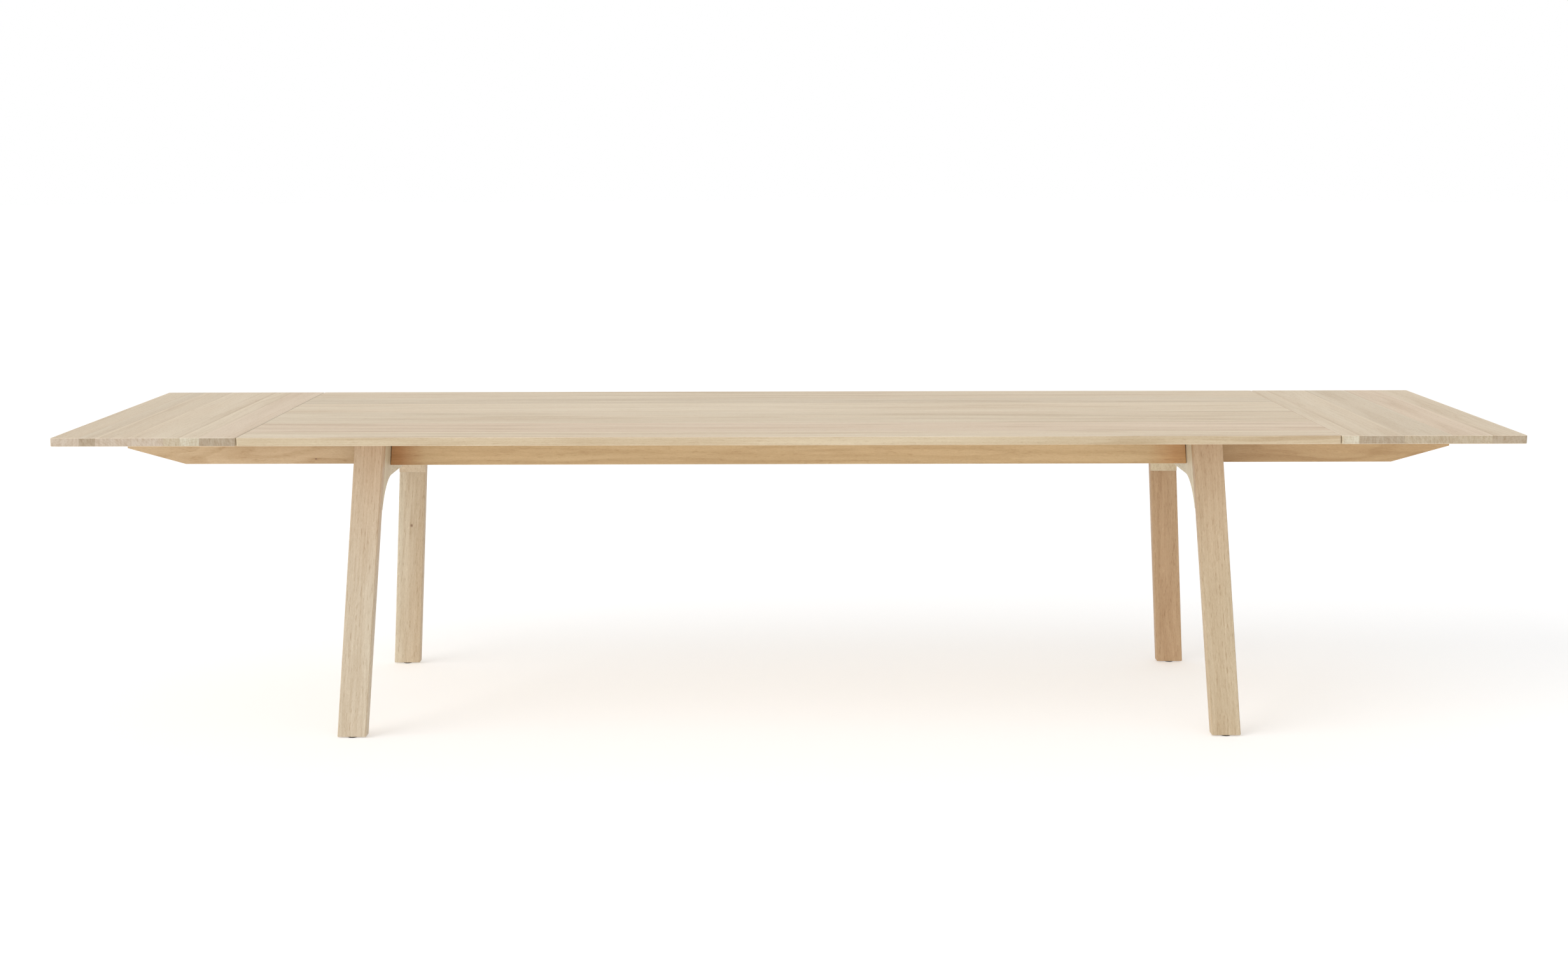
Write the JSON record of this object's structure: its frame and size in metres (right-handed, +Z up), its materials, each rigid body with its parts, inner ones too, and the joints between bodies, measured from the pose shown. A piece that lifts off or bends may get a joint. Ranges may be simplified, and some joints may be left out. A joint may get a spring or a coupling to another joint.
{
  "type": "extendable dining table",
  "caption": "Oak dining table on splayed end frames with arched crossbars; loose end leaves rest on tapered bearers that slide out from under the plank top.",
  "frame": {"origin": "on the floor, under the middle of the top", "axes": "+X along the table's length, +Y across it from the front edge to the rear edge, +Z up"},
  "size_m": [3.401, 0.9, 0.74],
  "materials": {
    "top_oak": "matt oiled oak",
    "frame_oak": "matt oiled oak",
    "bearer_oak": "matt oiled oak",
    "beech": "plain beech",
    "zinc_steel": "bright zinc",
    "felt": "wool felt"
  },
  "bodies": {
    "frame": {"main_top": "top_oak", "rail_front": "frame_oak", "rail_rear": "frame_oak", "stretcher": "frame_oak", "crossbar_left": "frame_oak", "crossbar_right": "frame_oak", "leg_front_left": "frame_oak", "glide_front_left": "felt", "leg_dowel_front_left_1": "beech", "leg_dowel_front_left_2": "beech", "rail_dowel_front_left_1": "beech", "rail_dowel_front_left_2": "beech", "keeper_front_left": "beech", "leg_front_right": "frame_oak", "glide_front_right": "felt", "leg_dowel_front_right_1": "beech", "leg_dowel_front_right_2": "beech", "rail_dowel_front_right_1": "beech", "rail_dowel_front_right_2": "beech", "keeper_front_right": "beech", "leg_rear_left": "frame_oak", "glide_rear_left": "felt", "leg_dowel_rear_left_1": "beech", "leg_dowel_rear_left_2": "beech", "rail_dowel_rear_left_1": "beech", "rail_dowel_rear_left_2": "beech", "keeper_rear_left": "beech", "leg_rear_right": "frame_oak", "glide_rear_right": "felt", "leg_dowel_rear_right_1": "beech", "leg_dowel_rear_right_2": "beech", "rail_dowel_rear_right_1": "beech", "rail_dowel_rear_right_2": "beech", "keeper_rear_right": "beech", "bracket_left": "zinc_steel", "screw_top_left": "zinc_steel", "screw_bar_left": "zinc_steel", "bracket_right": "zinc_steel", "screw_top_right": "zinc_steel", "screw_bar_right": "zinc_steel"},
    "bearer_front_left": {"bearer_front_left": "bearer_oak", "stop_peg_front_left": "beech"},
    "bearer_front_right": {"bearer_front_right": "bearer_oak", "stop_peg_front_right": "beech"},
    "bearer_rear_left": {"bearer_rear_left": "bearer_oak", "stop_peg_rear_left": "beech"},
    "bearer_rear_right": {"bearer_rear_right": "bearer_oak", "stop_peg_rear_right": "beech"},
    "leaf_left": {"leaf_left": "top_oak", "leaf_dowel_left_1": "beech", "leaf_dowel_left_2": "beech", "leaf_dowel_left_3": "beech"},
    "leaf_right": {"leaf_right": "top_oak", "leaf_dowel_right_1": "beech", "leaf_dowel_right_2": "beech", "leaf_dowel_right_3": "beech"}
  },
  "joints": [
    {"name": "bearer_front_left_slide", "type": "slide", "parent": "frame", "child": "bearer_front_left", "axis": [1, 0, 0], "range_m": [0, 0.345]},
    {"name": "bearer_front_right_slide", "type": "slide", "parent": "frame", "child": "bearer_front_right", "axis": [-1, 0, 0], "range_m": [0, 0.345]},
    {"name": "bearer_rear_left_slide", "type": "slide", "parent": "frame", "child": "bearer_rear_left", "axis": [1, 0, 0], "range_m": [0, 0.345]},
    {"name": "bearer_rear_right_slide", "type": "slide", "parent": "frame", "child": "bearer_rear_right", "axis": [-1, 0, 0], "range_m": [0, 0.345]},
    {"name": "leaf_left_pull_off", "type": "slide", "parent": "frame", "child": "leaf_left", "axis": [-1, 0, 0], "range_m": [0, 0.375]},
    {"name": "leaf_right_pull_off", "type": "slide", "parent": "frame", "child": "leaf_right", "axis": [1, 0, 0], "range_m": [0, 0.375]}
  ]
}
